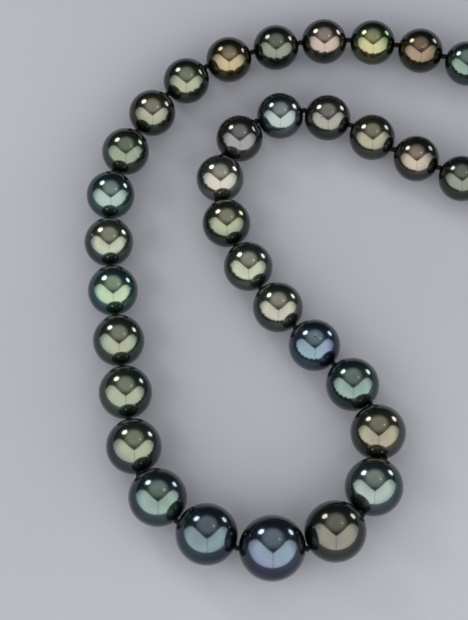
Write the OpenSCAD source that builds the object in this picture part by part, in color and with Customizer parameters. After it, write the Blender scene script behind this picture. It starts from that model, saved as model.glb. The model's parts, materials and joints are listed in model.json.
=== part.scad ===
// Graduated strand of black pearls, knotted on silk and laid on a flat surface in a folded loop,
// with its ball clasp undone. X and Y lie on the surface, Z points up, sizes are in millimetres.
// The origin is at the middle of the whole strand's footprint, on the surface.

/* [Pearls] */
// Diameter of the pearl at the middle of the strand
centre_d = 12.7; // [12.5:0.1:12.8]
// Diameter that the pearls grade down to towards the clasp
end_d = 9.15; // [9.0:0.05:9.2]
// Number of pearls in which the step down in size falls to about a third
grade_pearls = 4; // [3.5:0.5:4.5]

/* [Silk] */
// Space that a knot takes between two pearls
knot_gap = 0.7; // [0.65:0.05:0.75]
// Diameter of a knot
knot_d = 1.1; // [0.9:0.05:1.15]
// Diameter of the silk cord
silk_d = 0.7; // [0.5:0.05:0.75]
// Diameter of the hole drilled through a pearl
bore_d = 0.9; // [0.85:0.05:1.0]

/* [Clasp] */
// Inside diameter of the clasp's socket
socket_d = 3.6; // [3.4:0.1:3.8]
// Radial clearance between the plug's pin and the socket
pin_clearance = 0.05; // [0.03:0.01:0.1]
// Wall thickness of the clasp's ball
shell_wall = 0.5; // [0.4:0.05:0.6]
// How far the release button travels when it is pressed
button_travel = 0.45; // [0.4:0.05:0.5]
// How far the unpressed button stands out of the ball
button_height = 0.75; // [0.65:0.05:0.9]

/* [Hidden] */
$fn = 64;
side_pearls = 20;

// Route of the strand on the surface, from the socket's end to the plug's end.
route = [
    [98, 19], [78.5, 15.5], [59, 20], [41.5, 29], [32.5, 33], [24, 38.5], [14.5, 42], [4.5, 39.5],
    [-2, 32], [-3.5, 22.5], [5.5, 2.5], [19.5, -13.5], [26.5, -22], [29, -33], [24.5, -44.5],
    [14, -51.5], [-1, -51], [-10.5, -46], [-18, -36.5], [-20, -25.5], [-23, -3.5], [-25, 16.5],
    [-24, 28], [-19.5, 37], [-13.5, 45.5], [-5.5, 52], [13.5, 57.5], [33.5, 57], [61.5, 48], [81, 43]
];
// Place in the route of the knot on the centre pearl's right
centre_knot = 15;
search_steps = 30;

// Sides of the strand: the left one ends in the plug and the right one in the socket.
left = 1;
right = -1;

// Pearl number 0 is the centre pearl, and each side counts up towards the clasp.
function pearl_d(k) = end_d + (centre_d - end_d) * exp(-k / grade_pearls);
function pearl_r(k) = pearl_d(k) / 2;
function pitch(k) = pearl_d(k) + knot_gap;

// A smooth curve through the route's points
function curve(p0, p1, p2, p3, t) =
    (2 * p1 + (p2 - p0) * t + (2 * p0 - 5 * p1 + 4 * p2 - p3) * t * t
        + (3 * p1 - p0 - 3 * p2 + p3) * t * t * t) / 2;
function route_at(u) =
    let (
        last = len(route) - 1,
        i = min(max(floor(u), 0), last - 1),
        p1 = route[i],
        p2 = route[i + 1],
        p0 = i > 0 ? route[i - 1] : 2 * p1 - p2,
        p3 = i + 2 <= last ? route[i + 2] : 2 * p2 - p1
    )
    curve(p0, p1, p2, p3, u - i);

// The place on the route that lies a straight distance away from place u
function step_from(u, side, distance, low = 0, high = 1.5, n = search_steps) =
    n == 0 ? u + side * low :
    let (middle = (low + high) / 2)
    norm(route_at(u + side * middle) - route_at(u)) < distance
        ? step_from(u, side, distance, middle, high, n - 1)
        : step_from(u, side, distance, low, middle, n - 1);

// Places of one side's knots: knot k lies between pearls k and k + 1.
function knot_places(side) = [
    for (
        k = 0, u = side == left ? step_from(centre_knot, left, pitch(0)) : centre_knot;
        k <= side_pearls;
        k = k + 1, u = step_from(u, side, pitch(k))
    ) u
];
// Every pearl rests on the surface, and its hole runs straight from knot to knot through its middle.
function knot_z(k) = k == 0 ? pearl_r(0) : pearl_r(k + 0.5);
function knots_laid(side) =
    let (places = knot_places(side))
    [for (k = [0 : side_pearls]) let (p = route_at(places[k])) [p.x, p.y, knot_z(k)]];
left_laid = knots_laid(left);
right_laid = knots_laid(right);

// Clasp sizes along its own axis, counted outwards from the end knot
loop_r = 1.0;
gimp_d = 0.84;
gimp_bore_d = silk_d - 0.14;
loop_silk_d = silk_d - 0.2;
swing_x = 2.3;
ring_r = 1.5;
ring_wire_d = 0.7;
ball_r = knot_z(side_pearls);
ball_back_x = swing_x + 2 * ring_r + 0.05;
ball_x = ball_back_x + ball_r;
mouth_r = 2.7;
mouth_x = sqrt(ball_r * ball_r - mouth_r * mouth_r);
socket_r = socket_d / 2;
split_x = -1.6;

// Footprint, and from it the shift that brings the origin to the footprint's middle
function heading(knots) =
    let (d = knots[side_pearls] - knots[side_pearls - 1])
    atan2(d.y, d.x);
function centres(knots) = [
    for (k = [1 : side_pearls])
        let (p = (knots[k - 1] + knots[k]) / 2)
        [p.x, p.y, pearl_r(k)]
];
centre_laid = (left_laid[0] + right_laid[0]) / 2;
all_centres = concat(
    [[centre_laid.x, centre_laid.y, pearl_r(0)]], centres(left_laid), centres(right_laid)
);
socket_heading = heading(right_laid);
clasp_tip_x = right_laid[side_pearls].x + (ball_x + mouth_x) * cos(socket_heading)
    + mouth_r * abs(sin(socket_heading));
low_x = min([for (c = all_centres) c.x - c.z]);
high_x = max(concat([for (c = all_centres) c.x + c.z], [clasp_tip_x]));
low_y = min([for (c = all_centres) c.y - c.z]);
high_y = max([for (c = all_centres) c.y + c.z]);
shift = [-(low_x + high_x) / 2, -(low_y + high_y) / 2, 0];
left_knots = [for (p = left_laid) p + shift];
right_knots = [for (p = right_laid) p + shift];
function knot(side, k) = side == left ? left_knots[k] : right_knots[k];

function two_digits(k) = str(k < 10 ? "0" : "", k);
function side_name(side) = side == left ? "left" : "right";
function pearl_name(side, k) = str("pearl_", side_name(side), "_", two_digits(k));
clasp_nodes = [
    "silk_end_left", "gimp_left", "plug_cap", "plug_pin",
    "silk_end_right", "gimp_right", "rear_shell", "front_shell", "socket_tube",
    "latch_keeper", "latch_plate", "release_button", "latch_spring"
];

// Body colours of the pearls, from the centre pearl outwards
tones_left = [
    "#3c4a5c", "#35525e", "#3d5752", "#434d40", "#515650", "#2f4b45", "#38544a", "#55574a",
    "#395455", "#2f5a45", "#544f42", "#3c4433", "#3a3a2c", "#4c5348", "#4a4546", "#33603e",
    "#5f4a42", "#2f4a4b", "#474b44", "#3d5149", "#4d4a45"
];
tones_right = [
    "#3c4a5c", "#57544d", "#4a6063", "#56564b", "#38575c", "#33465a", "#4b534d", "#524f45",
    "#2e423a", "#74746c", "#4c454e", "#566469", "#3f463e", "#46473a", "#4f4f49", "#4b5249",
    "#3f4d4c", "#51504a", "#3b4a44", "#4a4c4a", "#44504d"
];
silk_tone = "#141416";
metal_tone = "#d3d2cd";
gimp_tone = "#b9b7b2";

// Draws along a straight line that starts at a and points to b, on the local Z axis
module along(a, b) {
    d = b - a;
    translate(a)
        rotate([0, acos(d.z / norm(d)), atan2(d.y, d.x)])
            children();
}

// A pearl drilled from one knot to the other, the mouths of its hole eased for the knots
module drilled_pearl(k, inner, outer) {
    bore_r = bore_d / 2;
    mouth_depth = 0.2;
    mouth_h = mouth_depth + knot_gap;
    along((inner + outer) / 2, outer)
        difference() {
            sphere(r = pearl_r(k));
            cylinder(h = 3 * pearl_r(k), r = bore_r, center = true);
            for (end = [0, 1])
                mirror([0, 0, end])
                    translate([0, 0, pearl_r(k) - mouth_depth])
                        cylinder(h = mouth_h, r1 = bore_r, r2 = bore_r + mouth_h);
        }
}

// The silk of one pearl: the knot before it and the run through it, up to the next knot
module silk_run(inner, outer) {
    clear = knot_d / 2 + 0.05;
    along(inner, outer)
        union() {
            sphere(d = knot_d);
            cylinder(h = norm(outer - inner) - clear, d = silk_d);
        }
}

module side_pearl(side, k) {
    inner = knot(side, k - 1);
    outer = knot(side, k);
    color(side == left ? tones_left[k] : tones_right[k])
        drilled_pearl(k, inner, outer);
    color(silk_tone)
        silk_run(inner, outer);
}

module pearl_centre() {
    inner = knot(right, 0);
    outer = knot(left, 0);
    run = norm(outer - inner) - knot_d - 0.1;
    color(tones_left[0])
        drilled_pearl(0, inner, outer);
    color(silk_tone)
        along((inner + outer) / 2, outer)
            cylinder(h = run, d = silk_d, center = true);
}

// Local frame of a strand's end: the origin is the end knot, and X runs on along the strand.
module at_end(side) {
    end = knot(side, side_pearls);
    translate(end)
        rotate([0, 0, heading(side == left ? left_knots : right_knots)])
            children();
}

// Local frame inside the ball: the origin is the ball's centre, and X points out of the socket.
module at_ball() {
    at_end(right)
        translate([ball_x, 0, 0])
            children();
}

module torus(r, d) {
    rotate_extrude()
        translate([r, 0])
            circle(d = d);
}

// Turned round the local X axis from a profile that stands on the axis
module turned_on_x(profile) {
    rotate([0, 90, 0])
        rotate_extrude()
            polygon(profile);
}

// The last knot and the silk loop that holds a clasp half
module silk_end(side) {
    color(silk_tone)
        at_end(side)
            union() {
                rotate([0, 90, 0])
                    union() {
                        sphere(d = knot_d);
                        cylinder(h = swing_x - loop_r, d = loop_silk_d);
                    }
                translate([swing_x, 0, 0])
                    torus(loop_r, loop_silk_d);
            }
}

// Fine wound wire tube that shields the silk loop from the metal ring
module gimp(side) {
    color(gimp_tone)
        at_end(side)
            difference() {
                translate([swing_x, 0, 0])
                    torus(loop_r, gimp_d);
                translate([swing_x, 0, 0])
                    torus(loop_r, gimp_bore_d);
                rotate([0, 90, 0])
                    cylinder(h = swing_x - loop_r, d = gimp_bore_d + 0.1);
            }
}

// Wire ring that stands upright in the silk loop
module upright_ring() {
    translate([swing_x + ring_r, 0, 0])
        rotate([90, 0, 0])
            torus(ring_r, ring_wire_d);
}

// Domed cap with its ring: when the clasp is shut it closes the ball's outline.
module plug_cap() {
    flat_x = ball_back_x + ball_r - mouth_x;
    color(metal_tone)
        at_end(left)
            union() {
                upright_ring();
                intersection() {
                    translate([ball_x, 0, 0])
                        sphere(r = ball_r, $fn = 256);
                    translate([flat_x - ball_r, -ball_r, -ball_r])
                        cube([ball_r, 2 * ball_r, 2 * ball_r]);
                }
            }
}

// Pin with a groove that the latch plate catches in
module plug_pin() {
    pin_r = socket_r - pin_clearance;
    groove_r = 1.3;
    groove_from = mouth_x - 0.2;
    groove_to = mouth_x + 0.6;
    tip = groove_to + 0.9;
    tip_r = 1.0;
    color(metal_tone)
        at_end(left)
            translate([ball_back_x + ball_r - mouth_x, 0, 0])
                turned_on_x([
                    [0, 0], [pin_r, 0], [pin_r, groove_from], [groove_r, groove_from],
                    [groove_r, groove_to], [pin_r, groove_to], [tip_r, tip], [0, tip]
                ]);
}

// The ball's shell between two planes across its axis
module ball_shell(from_x, to_x) {
    intersection() {
        difference() {
            sphere(r = ball_r);
            sphere(r = ball_r - shell_wall);
        }
        translate([from_x, -ball_r, -ball_r])
            cube([to_x - from_x, 2 * ball_r, 2 * ball_r]);
    }
}

module rear_shell() {
    color(metal_tone)
        union() {
            at_ball()
                ball_shell(-ball_r, split_x);
            at_end(right)
                upright_ring();
        }
}

button_r = 1.0;
button_x = -0.2;
tube_r = mouth_r - 0.1;
tube_back_x = 0.2;
plate_front_x = 0.1;
plate_back_x = -0.5;
keeper_front_x = -0.6;
keeper_back_x = -1.3;
plate_w = 4.6;
plate_top = 3.1;
plate_bottom = -2.8;

module front_shell() {
    color(metal_tone)
        at_ball()
            difference() {
                ball_shell(split_x, mouth_x);
                rotate([0, 90, 0])
                    cylinder(h = ball_r, r = tube_r);
                translate([button_x, 0, 0])
                    cylinder(h = ball_r + 1, r = button_r + 0.08);
            }
}

module socket_tube() {
    color(metal_tone)
        at_ball()
            rotate([0, 90, 0])
                difference() {
                    translate([0, 0, tube_back_x])
                        cylinder(h = mouth_x - tube_back_x, r = tube_r);
                    cylinder(h = ball_r, r = socket_r);
                }
}

// Open collar that keeps the latch plate against the back of the socket tube; the button clears its gap.
module latch_keeper() {
    edge = ball_r - shell_wall;
    keeper_r = sqrt(edge * edge - keeper_back_x * keeper_back_x) - 0.02;
    keeper_bore_r = socket_r + 0.6;
    gap_w = 2 * button_r + 0.2;
    color(metal_tone)
        at_ball()
            difference() {
                translate([keeper_back_x, 0, 0])
                    rotate([0, 90, 0])
                        cylinder(h = keeper_front_x - keeper_back_x, r = keeper_r);
                rotate([0, 90, 0])
                    cylinder(h = 2 * ball_r, r = keeper_bore_r, center = true);
                translate([keeper_back_x - 1, -gap_w / 2, 0])
                    cube([2, gap_w, ball_r]);
            }
}

// Sliding plate whose round hole sits off the pin's axis until the button is pressed
module latch_plate() {
    color(metal_tone)
        at_ball()
            difference() {
                translate([plate_back_x, -plate_w / 2, plate_bottom])
                    cube([plate_front_x - plate_back_x, plate_w, plate_top - plate_bottom]);
                translate([plate_back_x - 1, 0, button_travel])
                    rotate([0, 90, 0])
                        cylinder(h = 3, r = socket_r + 0.2);
            }
}

// Button that stands on the plate's top edge and comes out through the ball
module release_button() {
    color(metal_tone)
        at_ball()
            translate([button_x, 0, 0])
                intersection() {
                    translate([0, 0, plate_top])
                        cylinder(h = ball_r, r = button_r);
                    sphere(r = ball_r + button_height);
                }
}

// Leaf spring arched between the ball's floor and the plate's lower edge
module latch_spring() {
    leaf = 0.2;
    arch_r = 2.2;
    half_w = 1.5;
    crown = plate_bottom - 0.05;
    color(metal_tone)
        at_ball()
            translate([plate_front_x - 0.05, 0, crown - arch_r])
                rotate([90, 0, -90])
                    linear_extrude(height = plate_front_x - plate_back_x - 0.1)
                        intersection() {
                            difference() {
                                circle(r = arch_r);
                                circle(r = arch_r - leaf);
                            }
                            translate([-half_w, 0])
                                square([2 * half_w, arch_r]);
                        }
}

pearl_centre();
for (side = [left, right])
    for (k = [1 : side_pearls])
        side_pearl(side, k);
silk_end(left);  // silk_end_left
gimp(left);  // gimp_left
plug_cap();
plug_pin();
silk_end(right);  // silk_end_right
gimp(right);  // gimp_right
rear_shell();
front_shell();
socket_tube();
latch_keeper();
latch_plate();
release_button();
latch_spring();
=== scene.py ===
"""A graduated necklace of dark pearls on knotted silk, laid out with its ball clasp undone."""

import json
import math

import bmesh
import bpy
from mathutils import Matrix, Vector, noise


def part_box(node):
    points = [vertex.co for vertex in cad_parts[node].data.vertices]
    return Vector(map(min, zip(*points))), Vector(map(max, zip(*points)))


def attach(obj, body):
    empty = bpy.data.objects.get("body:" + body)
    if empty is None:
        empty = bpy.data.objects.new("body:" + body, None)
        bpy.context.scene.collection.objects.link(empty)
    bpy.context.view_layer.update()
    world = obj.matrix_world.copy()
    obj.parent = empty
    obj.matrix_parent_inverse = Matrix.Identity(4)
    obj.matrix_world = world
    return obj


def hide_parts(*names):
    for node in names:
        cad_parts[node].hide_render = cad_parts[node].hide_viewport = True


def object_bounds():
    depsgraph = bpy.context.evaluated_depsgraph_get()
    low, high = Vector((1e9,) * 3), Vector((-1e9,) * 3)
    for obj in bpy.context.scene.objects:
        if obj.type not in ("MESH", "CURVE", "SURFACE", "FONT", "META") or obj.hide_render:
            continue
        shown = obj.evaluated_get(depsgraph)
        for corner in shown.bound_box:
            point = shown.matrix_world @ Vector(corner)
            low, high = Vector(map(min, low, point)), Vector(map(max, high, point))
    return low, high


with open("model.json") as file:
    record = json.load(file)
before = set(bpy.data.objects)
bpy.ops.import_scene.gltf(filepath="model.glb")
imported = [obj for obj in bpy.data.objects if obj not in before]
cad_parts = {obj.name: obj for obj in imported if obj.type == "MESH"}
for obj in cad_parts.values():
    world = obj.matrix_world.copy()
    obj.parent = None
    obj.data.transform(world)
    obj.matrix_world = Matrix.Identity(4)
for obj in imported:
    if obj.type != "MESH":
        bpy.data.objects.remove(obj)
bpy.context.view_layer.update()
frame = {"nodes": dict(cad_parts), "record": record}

MM = 0.001
SIDE_PEARLS = 20
JOINTS = {j["name"]: j for j in frame["record"]["behaviour"]["joints"]}


# ---------------------------------------------------------------- places, all from the frame


SWING_X = 2.3 * MM  # from the last knot to the middle of the silk loop
LOOP_R = 1.0 * MM
KNOT_R = 0.55 * MM
KNOT_LOOP_R = 0.35 * MM  # from the knot's centre to the middle of its cord
KNOT_CORD_R = 0.24 * MM
SILK_R = 0.33 * MM
BORE_R = 0.45 * MM
LIP_R = 0.62 * MM  # where the worn edge of the drill hole meets the pearl's round


def joint_place(name):
    return Vector(JOINTS[name]["pos_m"])


def strand_knots(side):
    """The knots of one half outwards from the centre pearl, its clasp swing, and the way there."""
    knots = [joint_place(f"knot_{side}_{k:02d}") for k in range(1, SIDE_PEARLS + 1)]
    pivot = joint_place("plug_swing" if side == "left" else "clasp_swing")
    heading = pivot - knots[-1]
    heading.z = 0
    heading.normalize()
    knots.append(pivot - heading * SWING_X)
    return knots, pivot, heading


# ---------------------------------------------------------------- mesh helpers


def new_object(name, verts, faces, smooth=True):
    mesh = bpy.data.meshes.new(name)
    mesh.from_pydata([tuple(v) for v in verts], [], faces)
    bm = bmesh.new()
    bm.from_mesh(mesh)
    bmesh.ops.recalc_face_normals(bm, faces=bm.faces)
    bm.to_mesh(mesh)
    bm.free()
    mesh.polygons.foreach_set("use_smooth", [smooth] * len(mesh.polygons))
    obj = bpy.data.objects.new(name, mesh)
    bpy.context.scene.collection.objects.link(obj)
    return obj


def grid_faces(rows, columns, offset=0, close_rows=False):
    """Quads between closed rings of vertices laid one after another."""
    faces = []
    for i in range(rows if close_rows else rows - 1):
        a, b = offset + i * columns, offset + (i + 1) % rows * columns
        for j in range(columns):
            k = (j + 1) % columns
            faces.append((a + j, a + k, b + k, b + j))
    return faces


def axis_turn(direction):
    """Turns local Z onto a direction."""
    return direction.to_track_quat("Z", "Y").to_matrix().to_4x4()


def path_frames(path, closed):
    """A side and an up vector at each point, carried along the path without twisting."""
    count = len(path)
    tangents = []
    for i in range(count):
        after = path[(i + 1) % count] if closed or i < count - 1 else path[i]
        before = path[i - 1] if closed or i > 0 else path[i]
        tangents.append((after - before).normalized())
    side = tangents[0].orthogonal().normalized()
    frames = []
    for tangent in tangents:
        side = (side - tangent * side.dot(tangent)).normalized()
        frames.append((side, tangent.cross(side)))
    if closed:
        first, last = frames[0], frames[-1]
        slip = math.atan2(last[0].dot(first[1]), last[0].dot(first[0]))
        for i, (a, b) in enumerate(frames):
            turn = -slip * i / count
            c, s = math.cos(turn), math.sin(turn)
            frames[i] = (a * c + b * s, b * c - a * s)
    return frames


def tube(path, radius, sides=8, closed=False, offset=0):
    """A round tube along a path, its ends capped unless it closes on itself."""
    verts = []
    for point, (side, up) in zip(path, path_frames(path, closed)):
        for j in range(sides):
            a = 2 * math.pi * j / sides
            verts.append(point + radius * (side * math.cos(a) + up * math.sin(a)))
    faces = grid_faces(len(path), sides, offset, closed)
    if not closed:
        faces.append(tuple(offset + j for j in range(sides)))
        last = offset + (len(path) - 1) * sides
        faces.append(tuple(last + j for j in reversed(range(sides))))
    return verts, faces


def plied_cord(path, radius, turns, closed=False, plies=3, sides=7):
    """A cord laid up from several plies that wind round a path."""
    ply_r = radius * 0.56
    frames = path_frames(path, closed)
    count = len(path)
    verts, faces = [], []
    for ply in range(plies):
        strand = []
        for i, (point, (side, up)) in enumerate(zip(path, frames)):
            share = i / count if closed else i / (count - 1)
            a = 2 * math.pi * (turns * share + ply / plies)
            strand.append(point + (radius - ply_r) * (side * math.cos(a) + up * math.sin(a)))
        more, quads = tube(strand, ply_r, sides, closed, len(verts))
        verts += more
        faces += quads
    return verts, faces


def straight(a, b, steps):
    """Evenly spaced points from one place to another."""
    return [a.lerp(b, i / (steps - 1)) for i in range(steps)]


def knot_path(centre, direction, size, steps=54):
    """A tight overhand knot round a centre, its through line along a direction."""
    turn = axis_turn(direction).to_3x3()
    points = []
    for i in range(steps):
        t = 2 * math.pi * i / steps
        reach = (2 + math.cos(3 * t)) / 3
        height = 0.85 * math.sin(3 * t)
        local = Vector((reach * math.cos(2 * t), reach * math.sin(2 * t), height))
        points.append(centre + turn @ (local * size))
    return points


def joined(name, parts):
    """One object from several (vertices, faces) lists, each with faces that count from 0."""
    verts, faces = [], []
    for more, quads in parts:
        faces += [tuple(len(verts) + i for i in face) for face in quads]
        verts += more
    return new_object(name, verts, faces)


# ---------------------------------------------------------------- node helpers


def linear(code):
    """The linear colour of an sRGB hex code."""
    parts = [int(code[i : i + 2], 16) / 255 for i in (1, 3, 5)]
    return [c / 12.92 if c <= 0.04045 else ((c + 0.055) / 1.055) ** 2.4 for c in parts]


class Nodes:
    """A material's node tree with one Principled shader."""

    def __init__(self, name):
        self.material = bpy.data.materials.new(name)
        self.material.use_nodes = True
        self.tree = self.material.node_tree
        self.shader = self.tree.nodes["Principled BSDF"]
        self.place = self.add("ShaderNodeTexCoord").outputs["Object"]

    def add(self, kind, **values):
        """A new node, its settings and input sockets set by name."""
        node = self.tree.nodes.new(kind)
        for key, value in values.items():
            if hasattr(node, key):
                setattr(node, key, value)
            else:
                node.inputs[key.replace("_", " ").title()].default_value = value
        return node

    def link(self, out, into):
        self.tree.links.new(out, into)

    def noise(self, scale, detail, stretch=None):
        """Noise over the piece's own place, drawn out where stretch is below 1."""
        texture = self.add("ShaderNodeTexNoise", scale=scale, detail=detail)
        if stretch:
            mapping = self.add("ShaderNodeMapping", scale=stretch)
            self.link(self.place, mapping.inputs["Vector"])
            self.link(mapping.outputs["Vector"], texture.inputs["Vector"])
        else:
            self.link(self.place, texture.inputs["Vector"])
        return texture.outputs["Fac"]

    def math(self, operation, a, b, clamp=False):
        node = self.add("ShaderNodeMath", operation=operation, use_clamp=clamp)
        for socket, value in zip(node.inputs, (a, b)):
            if isinstance(value, (int, float)):
                socket.default_value = value
            else:
                self.link(value, socket)
        return node.outputs["Value"]

    def spread(self, value, low, high):
        """Takes 0 to 1 to low to high."""
        node = self.add("ShaderNodeMapRange")
        self.link(value, node.inputs["Value"])
        node.inputs["To Min"].default_value = low
        node.inputs["To Max"].default_value = high
        return node.outputs["Result"]

    def ramp(self, value, stops):
        """A colour ramp: straight between two stops, smoothed over more."""
        node = self.add("ShaderNodeValToRGB")
        self.link(value, node.inputs["Fac"])
        node.color_ramp.interpolation = "B_SPLINE" if len(stops) > 2 else "LINEAR"
        elements = node.color_ramp.elements
        while len(elements) < len(stops):
            elements.new(0.5)
        for element, (place, colour) in zip(elements, stops):
            element.position = place
            element.color = [*colour, 1]
        return node.outputs["Color"]

    def bump(self, height, distance, strength, after=None):
        node = self.add("ShaderNodeBump", strength=strength, distance=distance)
        self.link(height, node.inputs["Height"])
        if after:
            self.link(after, node.inputs["Normal"])
        return node.outputs["Normal"]


# ---------------------------------------------------------------- materials

# Each overtone: a pearl's heart, the light lobes round it, the ring outside them, the dark edge.
# The hues are the nacre's own overtone, but the lobes are painted reflection of the soft panels,
# brighter than the ring, and the dark edge is a painted dark rim.
OVERTONES_WITH_PAINTED_REFLECTION = {
    "slate": ("#788c9c", "#8c9ab2", "#56607c", "#161f28"),
    "ocean": ("#6f828a", "#80939b", "#4e6476", "#162028"),
    "lagoon": ("#7c9488", "#98b0a4", "#567080", "#141d22"),
    "willow": ("#8a9a7c", "#aab498", "#606c70", "#1c2424"),
    "moss": ("#9c9f8c", "#b0b89c", "#5c746c", "#182424"),
    "peacock": ("#a6c4a4", "#c0d6b4", "#4c8c90", "#122a30"),
    "celadon": ("#b0b49c", "#c8ccb2", "#70807a", "#182424"),
    "mint": ("#a8c0ba", "#a4bcb4", "#5c8484", "#142326"),
    "fern": ("#8c9e82", "#969f8a", "#486c5a", "#101c1e"),
    "cinnamon": ("#b6aea4", "#b0b09a", "#5c6450", "#10181a"),
    "laurel": ("#b2b094", "#a8ae92", "#4e6452", "#101c1c"),
    "bronze": ("#c2aa8a", "#aa987a", "#5c583c", "#0c1814"),
    "sage": ("#8a9080", "#82887a", "#405048", "#0c1416"),
    "blush": ("#c8b2a4", "#b4a89a", "#565850", "#0e1415"),
    "parrot": ("#c8be90", "#b6b688", "#3c6840", "#0a1c12"),
    "copper": ("#a08072", "#987e6a", "#465038", "#0c1612"),
    "teal": ("#80988f", "#99b2a6", "#48696e", "#162429"),
    "greige": ("#787872", "#928e7e", "#5c605c", "#14201e"),
    "silver_teal": ("#90a29a", "#b0c0b6", "#607c80", "#1a282c"),
    "oyster": ("#9e9a84", "#b2ac90", "#6a7068", "#1c2424"),
    "midnight": ("#7f9aa8", "#93abbe", "#4d6681", "#18242f"),
    "champagne": ("#b0b0a0", "#cac8b4", "#6a7870", "#182221"),
    "ivory_grey": ("#d2cabc", "#cac4b6", "#98a29c", "#262e2d"),
    "mauve": ("#96969a", "#9e9a94", "#545050", "#14191c"),
    "steel": ("#b4c2bc", "#b4c0bc", "#5c7878", "#161e22"),
    "pewter": ("#a09c94", "#a8a89a", "#4c5652", "#12191b"),
}
# From the centre pearl to the clasp
LEFT_TONES = (
    "ocean lagoon willow moss moss peacock celadon mint fern cinnamon "
    "laurel bronze sage blush parrot copper teal oyster fern celadon"
).split()
RIGHT_TONES = (
    "greige silver_teal oyster teal midnight champagne celadon laurel ivory_grey mauve "
    "steel pewter oyster blush sage teal willow fern moss mint"
).split()
SOFTBOX = 2.9  # how bright the soft panels are, so that a heart shows its own tone

# Pearls with a small mark, and the way that it faces
MARKS = {
    "left_07": Vector((-0.62, -0.05, 0.78)),
    "left_04": Vector((0.12, 0.55, 0.83)),
    "left_16": Vector((0.05, -0.35, 0.94)),
    "right_12": Vector((-0.28, -0.38, 0.88)),
    "right_05": Vector((0.02, -0.02, 1.0)),
}


MARK_R = 0.1 * MM
MARK_EDGE_R = 0.3 * MM
MARK_DEPTH = 0.12 * MM
SKIN_DEPTH = 0.012 * MM
PIT_DEPTH = 0.03 * MM


def nacre(name, tone, seed, mark=None):
    """Dark nacre: a metallic lustre whose tint shifts towards the edge, under a thin clear skin.
    The tint by view angle is partly the nacre's overtone and partly painted reflection: bright
    painted lobes where the soft panels mirror and a painted dark rim.
    """
    heart, lobe_painted_bright, ring, edge = [Vector(linear(code)) for code in OVERTONES_WITH_PAINTED_REFLECTION[tone]]
    n = Nodes("nacre_" + name)
    shift = n.add("ShaderNodeMapping")
    shift.inputs["Location"].default_value = (seed * 0.37, seed * 0.73, seed * 0.19)
    n.link(n.place, shift.inputs["Vector"])
    whole = n.place
    n.place = shift.outputs["Vector"]
    facing = n.add("ShaderNodeLayerWeight", blend=0.5).outputs["Facing"]
    drift = n.spread(n.noise(110, 2), -0.26, 0.26)
    cloud = n.spread(n.noise(520, 3), -0.02, 0.02)
    orient_and_painted_reflection = n.math("ADD", n.math("ADD", facing, drift), cloud, clamp=True)
    # The ramp by view angle gives the overtone hue and also paints reflection: brighter lobes where
    # the soft panels mirror, a dimmer ring outside them and a painted dark rim at the edge.
    colour = n.ramp(
        orient_and_painted_reflection,
        [
            (0.0, heart / SOFTBOX),
            (0.04, heart / SOFTBOX),
            (0.13, lobe_painted_bright / SOFTBOX),
            (0.24, (lobe_painted_bright * 0.4 + ring * 0.7) / SOFTBOX),
            (0.40, ring * 0.9 / SOFTBOX),
            (0.58, edge * 1.2),
            (1.0, edge * 0.6),
        ],
    )
    tint = n.add("ShaderNodeHueSaturation")
    n.link(n.spread(n.noise(170, 2), 0.41, 0.59), tint.inputs["Hue"])
    tint.inputs["Saturation"].default_value = 1.03
    n.link(colour, tint.inputs["Color"])
    n.link(tint.outputs["Color"], n.shader.inputs["Base Color"])
    n.shader.inputs["Metallic"].default_value = 0.94
    n.link(n.spread(n.noise(300, 4), 0.1, 0.19), n.shader.inputs["Roughness"])
    n.shader.inputs["Coat Weight"].default_value = 0.55
    n.shader.inputs["Coat Roughness"].default_value = 0.05
    n.shader.inputs["Coat IOR"].default_value = 1.4
    skin = n.bump(n.noise(2600, 3), SKIN_DEPTH, 0.5)
    dips = n.add("ShaderNodeTexVoronoi", scale=330.0)
    n.link(n.place, dips.inputs["Vector"])
    pits = n.math("LESS_THAN", dips.outputs["Distance"], 0.07)
    normal = n.bump(n.math("SUBTRACT", 1.0, pits), PIT_DEPTH, 0.25, skin)
    if mark:
        away = n.add("ShaderNodeVectorMath", operation="DISTANCE")
        n.link(whole, away.inputs[0])
        away.inputs[1].default_value = mark
        dent = n.add("ShaderNodeMapRange")
        n.link(away.outputs["Value"], dent.inputs["Value"])
        dent.inputs["From Min"].default_value = MARK_R
        dent.inputs["From Max"].default_value = MARK_EDGE_R
        normal = n.bump(dent.outputs["Result"], MARK_DEPTH, 1.0, normal)
    n.link(normal, n.shader.inputs["Normal"])
    return n.material


def silk_material():
    """Black silk: fine fibres and hardly any shine."""
    n = Nodes("silk")
    colour = n.ramp(n.noise(9000, 4), [(0.3, linear("#040405")), (0.7, linear("#0e0e11"))])
    n.link(colour, n.shader.inputs["Base Color"])
    n.link(n.spread(n.noise(5000, 3), 0.55, 0.8), n.shader.inputs["Roughness"])
    n.shader.inputs["Specular IOR Level"].default_value = 0.2
    fibres = n.noise(14000, 2, (1, 1, 0.2))
    n.link(n.bump(fibres, 0.03 * MM, 0.8), n.shader.inputs["Normal"])
    return n.material


def metal_material(name, light, dark, rough_from, rough_to):
    """Polished white gold with the faint streaks of the buffing wheel."""
    n = Nodes(name)
    streaks = n.noise(900, 4, (1.0, 0.12, 1.0))
    colour = n.ramp(n.noise(260, 3), [(0.25, linear(dark)), (0.75, linear(light))])
    n.link(colour, n.shader.inputs["Base Color"])
    n.shader.inputs["Metallic"].default_value = 1.0
    n.link(n.spread(streaks, rough_from, rough_to), n.shader.inputs["Roughness"])
    scratches = n.noise(5200, 4, (1.0, 0.1, 1.0))
    n.link(n.bump(scratches, 0.006 * MM, 0.35), n.shader.inputs["Normal"])
    return n.material


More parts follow.
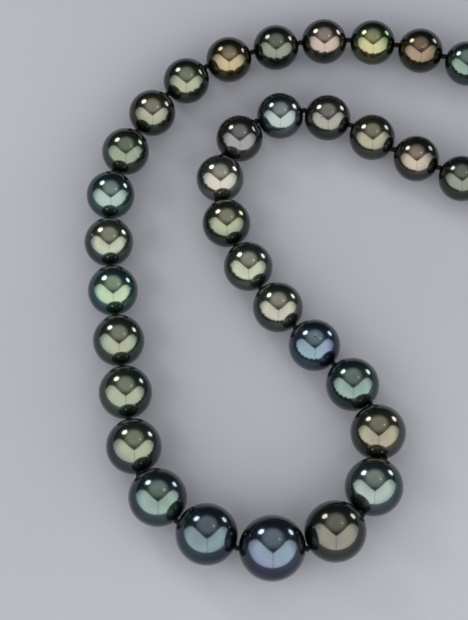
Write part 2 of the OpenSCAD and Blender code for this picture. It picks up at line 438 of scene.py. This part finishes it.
def floor_material():
    """A plain matt pale grey."""
    n = Nodes("floor")
    colour = n.ramp(n.noise(9, 3), [(0.3, linear("#92939a")), (0.7, linear("#98999f"))])
    n.link(colour, n.shader.inputs["Base Color"])
    n.link(n.spread(n.noise(60, 4), 0.7, 0.8), n.shader.inputs["Roughness"])
    n.shader.inputs["Specular IOR Level"].default_value = 0.0
    return n.material


SILK = silk_material()
WHITE_GOLD = metal_material("white_gold", "#e9e7e0", "#d9d6cf", 0.07, 0.2)
BRUSHED_GOLD = metal_material("white_gold_inside", "#d8d6d0", "#bdbab4", 0.22, 0.4)
GIMP = metal_material("gimp", "#cfcdc6", "#b4b1aa", 0.18, 0.34)


# ---------------------------------------------------------------- pearls and silk


PEARL_RINGS, PEARL_AROUND = 54, 84
OUT_OF_TRUE = 0.0012  # how far a pearl strays from a true sphere, as a share of its radius


def pearl_mesh(name, radius, direction, seed):
    """A drilled pearl round its own origin: not quite a true sphere, its hole's edge worn soft."""
    profile = [(BORE_R, -0.5 * radius), (BORE_R, -(radius - 0.3 * MM))]
    first = math.asin(LIP_R / radius)
    lip = radius * math.cos(first)
    profile.append((BORE_R * 1.08, -(lip - 0.06 * MM)))
    profile.append((0.5 * (BORE_R + LIP_R), -(lip - 0.01 * MM)))
    for i in range(PEARL_RINGS + 1):
        a = first + (math.pi - 2 * first) * i / PEARL_RINGS
        profile.append((radius * math.sin(a), -radius * math.cos(a)))
    profile += [(r, -z) for r, z in reversed(profile[:4])]
    verts = []
    for r, z in profile:
        for j in range(PEARL_AROUND):
            a = 2 * math.pi * j / PEARL_AROUND
            p = Vector((r * math.cos(a), r * math.sin(a), z))
            if r > LIP_R * 1.01:
                wander = noise.noise(p.normalized() * 1.3 + Vector((seed, seed * 0.7, 3.1)))
                p *= 1 + OUT_OF_TRUE * (wander - 1)
            verts.append(p)
    obj = new_object(name, verts, grid_faces(len(profile), PEARL_AROUND, 0, True))
    obj.data.transform(axis_turn(direction))
    return obj


def dress(obj, body, slot_name, material, *nodes):
    """Gives a new piece its material and the body it rides on, and hides the nodes it replaces."""
    obj.data.materials.append(material)
    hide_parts(*nodes)
    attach(obj, body)


RUN_GAP = 0.17 * MM  # from a run's end to the next knot, so that the knot can turn
RUN_STEPS = 30
LAY_LENGTH = 1.6 * MM  # of cord for one turn of its plies


def knot_tube(centre, direction):
    """The cord of one knot."""
    return tube(knot_path(centre, direction, KNOT_LOOP_R), KNOT_CORD_R, 8, True)


def add_pearl(name, node, inner, outer, tone, seed, inner_knot):
    """A pearl between two knots, and its own run of silk with the knot before it."""
    centre = (inner + outer) / 2
    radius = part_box(node)[1].z - centre.z
    direction = (outer - inner).normalized()
    mark = MARKS.get(name)
    pearl = pearl_mesh("nacre_" + name, radius, direction, seed)
    pearl.location = centre
    material = nacre(name, tone, seed, mark.normalized() * radius if mark else None)
    dress(pearl, node, "nacre", material, node)
    start = inner if inner_knot else inner.lerp(centre, 0.2)
    end = outer - direction * (KNOT_R + RUN_GAP)
    turns = (end - start).length / LAY_LENGTH
    parts = [plied_cord(straight(start, end, RUN_STEPS), SILK_R, turns)]
    if inner_knot:
        parts.append(knot_tube(inner, direction))
    silk = joined("silk_" + name, parts)
    dress(silk, node, "silk", SILK, node)


KNOTS = {side: strand_knots(side) for side in ("left", "right")}
add_pearl("centre", "pearl_centre", KNOTS["right"][0][0], KNOTS["left"][0][0], "slate", 1, False)
for side, tones, first_seed in (("left", LEFT_TONES, 0), ("right", RIGHT_TONES, 57)):
    knots = KNOTS[side][0]
    for k in range(1, SIDE_PEARLS + 1):
        seed = 2 * k + first_seed
        name = f"{side}_{k:02d}"
        add_pearl(name, "pearl_" + name, knots[k - 1], knots[k], tones[k - 1], seed, True)


# ---------------------------------------------------------------- silk loops and gimp


def ring_path(centre, heading, start, end, steps):
    """Points round a level silk loop, the angles in degrees from the strand's own heading."""
    side = Vector((-heading.y, heading.x, 0))
    angles = [math.radians(start + (end - start) * i / (steps - 1)) for i in range(steps)]
    return [centre + LOOP_R * (heading * math.cos(a) + side * math.sin(a)) for a in angles]


def coil(path, radius, wire_r, turns):
    """Fine wire wound round a path."""
    frames = path_frames(path, False)
    fine = []
    steps = int(turns * 12)
    for i in range(steps + 1):
        t = i / steps * (len(path) - 1)
        k = min(int(t), len(path) - 2)
        point = path[k].lerp(path[k + 1], t - k)
        side = frames[k][0].lerp(frames[k + 1][0], t - k).normalized()
        up = frames[k][1].lerp(frames[k + 1][1], t - k).normalized()
        a = 2 * math.pi * turns * i / steps
        fine.append(point + radius * (side * math.cos(a) + up * math.sin(a)))
    return tube(fine, wire_r, 6)


GIMP_R = 0.42 * MM
GIMP_WIRE_R = 0.06 * MM
GIMP_GAP = 22  # degrees of the loop left bare on each side of the stem
for side in ("left", "right"):
    knots, pivot, heading = KNOTS[side]
    body = f"pearl_{side}_{SIDE_PEARLS}"
    stem = straight(knots[-1], pivot - heading * LOOP_R, 10)
    loop = ring_path(pivot, heading, 180, 540, 60)[:-1]
    parts = [
        knot_tube(knots[-1], heading),
        plied_cord(stem, 0.28 * MM, 1.0),
        plied_cord(loop, 0.24 * MM, 6, True),
    ]
    dress(joined("loop_silk_" + side, parts), body, "silk", SILK, "silk_end_" + side)
    wrap = ring_path(pivot, heading, GIMP_GAP - 180, 180 - GIMP_GAP, 80)
    turns = int(LOOP_R * math.radians(360 - 2 * GIMP_GAP) / (2.1 * GIMP_WIRE_R))
    wound = coil(wrap, GIMP_R - GIMP_WIRE_R, GIMP_WIRE_R, turns)
    wire = new_object("gimp_wire_" + side, *wound)
    dress(wire, body, "gimp", GIMP, "gimp_" + side)


# ---------------------------------------------------------------- clasp trim


def beaded_ring(name, centre, axis, ring_r, bead_r, beads):
    """A fine row of beads raised on the metal, round an axis."""
    around, sides = beads * 8, 8
    turn = axis_turn(axis).to_3x3()
    verts = []
    for i in range(around):
        a = 2 * math.pi * i / around
        out = turn @ Vector((math.cos(a), math.sin(a), 0))
        thick = bead_r * (0.8 + 0.2 * math.cos(beads * a))
        for j in range(sides):
            b = 2 * math.pi * j / sides
            rise = axis * (thick * math.sin(b))
            verts.append(centre + out * (ring_r + thick * math.cos(b)) + rise)
    return new_object(name, verts, grid_faces(around, sides, 0, True))


def stud(name, low, high):
    """The release button: a milled edge and a shallow dish on top."""
    middle_x, middle_y = (low.x + high.x) / 2, (low.y + high.y) / 2
    radius = (high.x - low.x) / 2
    height = high.z - low.z
    # Shares of the radius and of the height, from the underside round to the middle of the dish
    profile = [
        (0.0, 0.0), (0.96, 0.0), (1.0, 0.05), (1.0, 0.80), (0.97, 0.90), (0.90, 0.97),
        (0.80, 1.0), (0.70, 0.985), (0.62, 0.95), (0.45, 0.93), (0.25, 0.925), (0.0, 0.92),
    ]
    around, flutes = 144, 36
    verts = []
    for share, rise in profile[1:-1]:
        milled = 0.02 < rise < 0.92 and share > 0.9
        z = low.z + rise * height
        for i in range(around):
            a = 2 * math.pi * i / around
            flute = 0.025 * (0.5 + 0.5 * math.cos(flutes * a)) if milled else 0
            r = radius * (share - flute)
            verts.append(Vector((middle_x + r * math.cos(a), middle_y + r * math.sin(a), z)))
    faces = grid_faces(len(profile) - 2, around)
    for ring, rise in ((0, profile[0][1]), (len(profile) - 3, profile[-1][1])):
        verts.append(Vector((middle_x, middle_y, low.z + rise * height)))
        start = ring * around
        for i in range(around):
            faces.append((len(verts) - 1, start + i, start + (i + 1) % around))
    return new_object(name, verts, faces)


button = stud("button_stud", *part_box("release_button"))
dress(button, "clasp_button", "white_gold", WHITE_GOLD, "release_button")

SOCKET = next(m for m in frame["record"]["mounts"] if m["name"] == "clasp_socket")
socket_axis = Vector(SOCKET["axis"]).normalized()
mouth = Vector(SOCKET["pos_m"])
ball_r = mouth.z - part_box("front_shell")[0].z
MOUTH_R = 2.7 * MM
BEAD_R = 0.11 * MM
BEAD_SINK = 0.02 * MM
ball_centre = mouth - socket_axis * math.sqrt(ball_r**2 - MOUTH_R**2)
for name, along, beads in (("seam_beads", -1.6 * MM, 110), ("mouth_beads", 3.45 * MM, 76)):
    ring_r = math.sqrt(ball_r**2 - along**2) - BEAD_SINK
    row_centre = ball_centre + socket_axis * along
    trim = beaded_ring(name, row_centre, socket_axis, ring_r, BEAD_R, beads)
    trim.data.materials.append(WHITE_GOLD)
    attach(trim, "clasp_ball")


# ---------------------------------------------------------------- clasp nodes that keep their shape

OUTSIDE = ("plug_cap", "rear_shell", "front_shell")
INSIDE = ("plug_pin", "socket_tube", "latch_keeper", "latch_plate", "latch_spring")
for nodes, material in ((OUTSIDE, WHITE_GOLD), (INSIDE, BRUSHED_GOLD)):
    for node in nodes:
        obj = frame["nodes"][node]
        if obj.material_slots:
            for held in obj.material_slots:
                held.material = material
        else:
            obj.data.materials.append(material)


# ---------------------------------------------------------------- floor, light and camera

low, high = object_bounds()
middle = (low + high) / 2
FLOOR_SIZE = 2.5
FLOOR_CELLS = 40
REACH = 0.7  # from the middle of the necklace to each soft panel
CANOPY_R = 0.7
CANOPY_GLOW = 1.05
SPARK_REACH = 0.6


def floor():
    """A level sheet under the necklace."""
    verts, faces = [], []
    for i in range(FLOOR_CELLS + 1):
        for j in range(FLOOR_CELLS + 1):
            x = (i / FLOOR_CELLS - 0.5) * FLOOR_SIZE
            y = (j / FLOOR_CELLS - 0.5) * FLOOR_SIZE
            verts.append(Vector((middle.x + x, middle.y + y, low.z)))
    row = FLOOR_CELLS + 1
    for i in range(FLOOR_CELLS):
        for j in range(FLOOR_CELLS):
            a = i * row + j
            faces.append((a, a + row, a + row + 1, a + 1))
    obj = new_object("floor", verts, faces)
    obj.data.materials.append(floor_material())


def glow(obj, brightness, near, far, left):
    """Makes a soft panel that the camera doesn't see; it dims from near to far from its origin."""
    n = Nodes(obj.name)
    n.shader.inputs["Base Color"].default_value = (0, 0, 0, 1)
    n.shader.inputs["Emission Color"].default_value = (1, 1, 1, 1)
    span = n.add("ShaderNodeVectorMath", operation="LENGTH")
    n.link(n.place, span.inputs[0])
    fade = n.add("ShaderNodeMapRange", interpolation_type="SMOOTHSTEP")
    n.link(span.outputs["Value"], fade.inputs["Value"])
    fade.inputs["From Min"].default_value = near
    fade.inputs["From Max"].default_value = far
    fade.inputs["To Min"].default_value = brightness
    fade.inputs["To Max"].default_value = brightness * left
    n.link(fade.outputs["Result"], n.shader.inputs["Emission Strength"])
    obj.data.materials.append(n.material)
    obj.visible_camera = False
    obj.visible_shadow = False


def softbox(name, way):
    """A tall soft panel in front and to one side, its top edge falling to a notch in the middle."""
    facing = Vector((way * 0.75, -0.55, 0.37)).normalized()
    # The ways to its corners from the middle of the necklace
    outline = [
        (0.012, -0.62, 0.785),
        (0.66, 0.06, 0.68),
        (0.80, 0.20, 0.55),
        (0.92, 0.24, 0.34),
        (1.0, 0.12, 0.0),
        (0.012, -1.0, 0.0),
    ]
    heart = middle + Vector((way * 0.25, -0.75, 0.55))
    corners = []
    for x, y, z in outline:
        ray = Vector((way * x, y, z))
        corners.append(middle + ray * (REACH / ray.dot(facing)) - heart)
    obj = new_object(name, corners, [tuple(range(len(corners)))], False)
    obj.location = heart
    glow(obj, SOFTBOX, 0.62, 1.3, 0.5)


def canopy():
    """A round overhead scrim that is brightest in the middle and fades out to its rim."""
    aim_at = Vector((0, 0.26, 0.96)).normalized()
    verts, faces, steps = [Vector((0, 0, 0))], [], 48
    for i in range(steps):
        a = 2 * math.pi * i / steps
        verts.append(Vector((CANOPY_R * math.cos(a), CANOPY_R * math.sin(a), 0)))
        faces.append((0, 1 + i, 1 + (i + 1) % steps))
    obj = new_object("canopy", verts, faces, False)
    obj.matrix_world = Matrix.Translation(middle + aim_at * REACH) @ axis_turn(aim_at)
    glow(obj, CANOPY_GLOW, CANOPY_R * 0.35, CANOPY_R, 0.0)


def lamp(name, direction, size, brightness):
    """A round lamp that faces the middle of the necklace; brightness is its radiance."""
    light = bpy.data.lights.new(name, "AREA")
    light.shape = "DISK"
    light.size = size
    light.energy = brightness * math.pi * math.pi * size * size / 4
    obj = bpy.data.objects.new(name, light)
    bpy.context.scene.collection.objects.link(obj)
    obj.location = middle + direction.normalized() * SPARK_REACH
    obj.rotation_euler = direction.to_track_quat("Z", "Y").to_euler()
    obj.visible_camera = False


def studio_world():
    """A dim room for the pearls to mirror; the camera sees a pale backdrop past the floor."""
    world = bpy.data.worlds.new("studio")
    bpy.context.scene.world = world
    world.use_nodes = True
    tree = world.node_tree
    room = tree.nodes["Background"]
    room.inputs["Color"].default_value = (0.055, 0.062, 0.075, 1)
    backdrop = tree.nodes.new("ShaderNodeBackground")
    backdrop.inputs["Color"].default_value = (0.42, 0.42, 0.46, 1)
    seen = tree.nodes.new("ShaderNodeLightPath")
    mix = tree.nodes.new("ShaderNodeMixShader")
    tree.links.new(seen.outputs["Is Camera Ray"], mix.inputs["Fac"])
    tree.links.new(room.outputs["Background"], mix.inputs[1])
    tree.links.new(backdrop.outputs["Background"], mix.inputs[2])
    tree.links.new(mix.outputs["Shader"], tree.nodes["World Output"].inputs["Surface"])


floor()
softbox("softbox_left", -1)
softbox("softbox_right", 1)
canopy()
lamp("spark_left", Vector((-0.60, 0.58, 0.55)), 0.18, 11.0)
lamp("spark_top", Vector((0.36, 0.14, 0.92)), 0.05, 6.0)
lamp("spark_right", Vector((0.78, 0.60, 0.17)), 0.17, 10.0)
studio_world()
bpy.context.scene.view_settings.view_transform = "Standard"

CAMERA_ELEVATION = math.radians(66.7)
CAMERA_DISTANCE = 0.558
CAMERA_LENS = 164.0
camera = bpy.data.objects.new("camera", bpy.data.cameras.new("camera"))
bpy.context.scene.collection.objects.link(camera)
camera.data.lens = CAMERA_LENS
camera.data.clip_start = 0.01
aim = Vector((-0.0408, -0.0022, 0))  # the middle of the picture, on the floor
back = Vector((0, -math.cos(CAMERA_ELEVATION), math.sin(CAMERA_ELEVATION)))
camera.location = aim + back * CAMERA_DISTANCE
camera.rotation_euler = back.to_track_quat("Z", "Y").to_euler()
bpy.context.scene.camera = camera
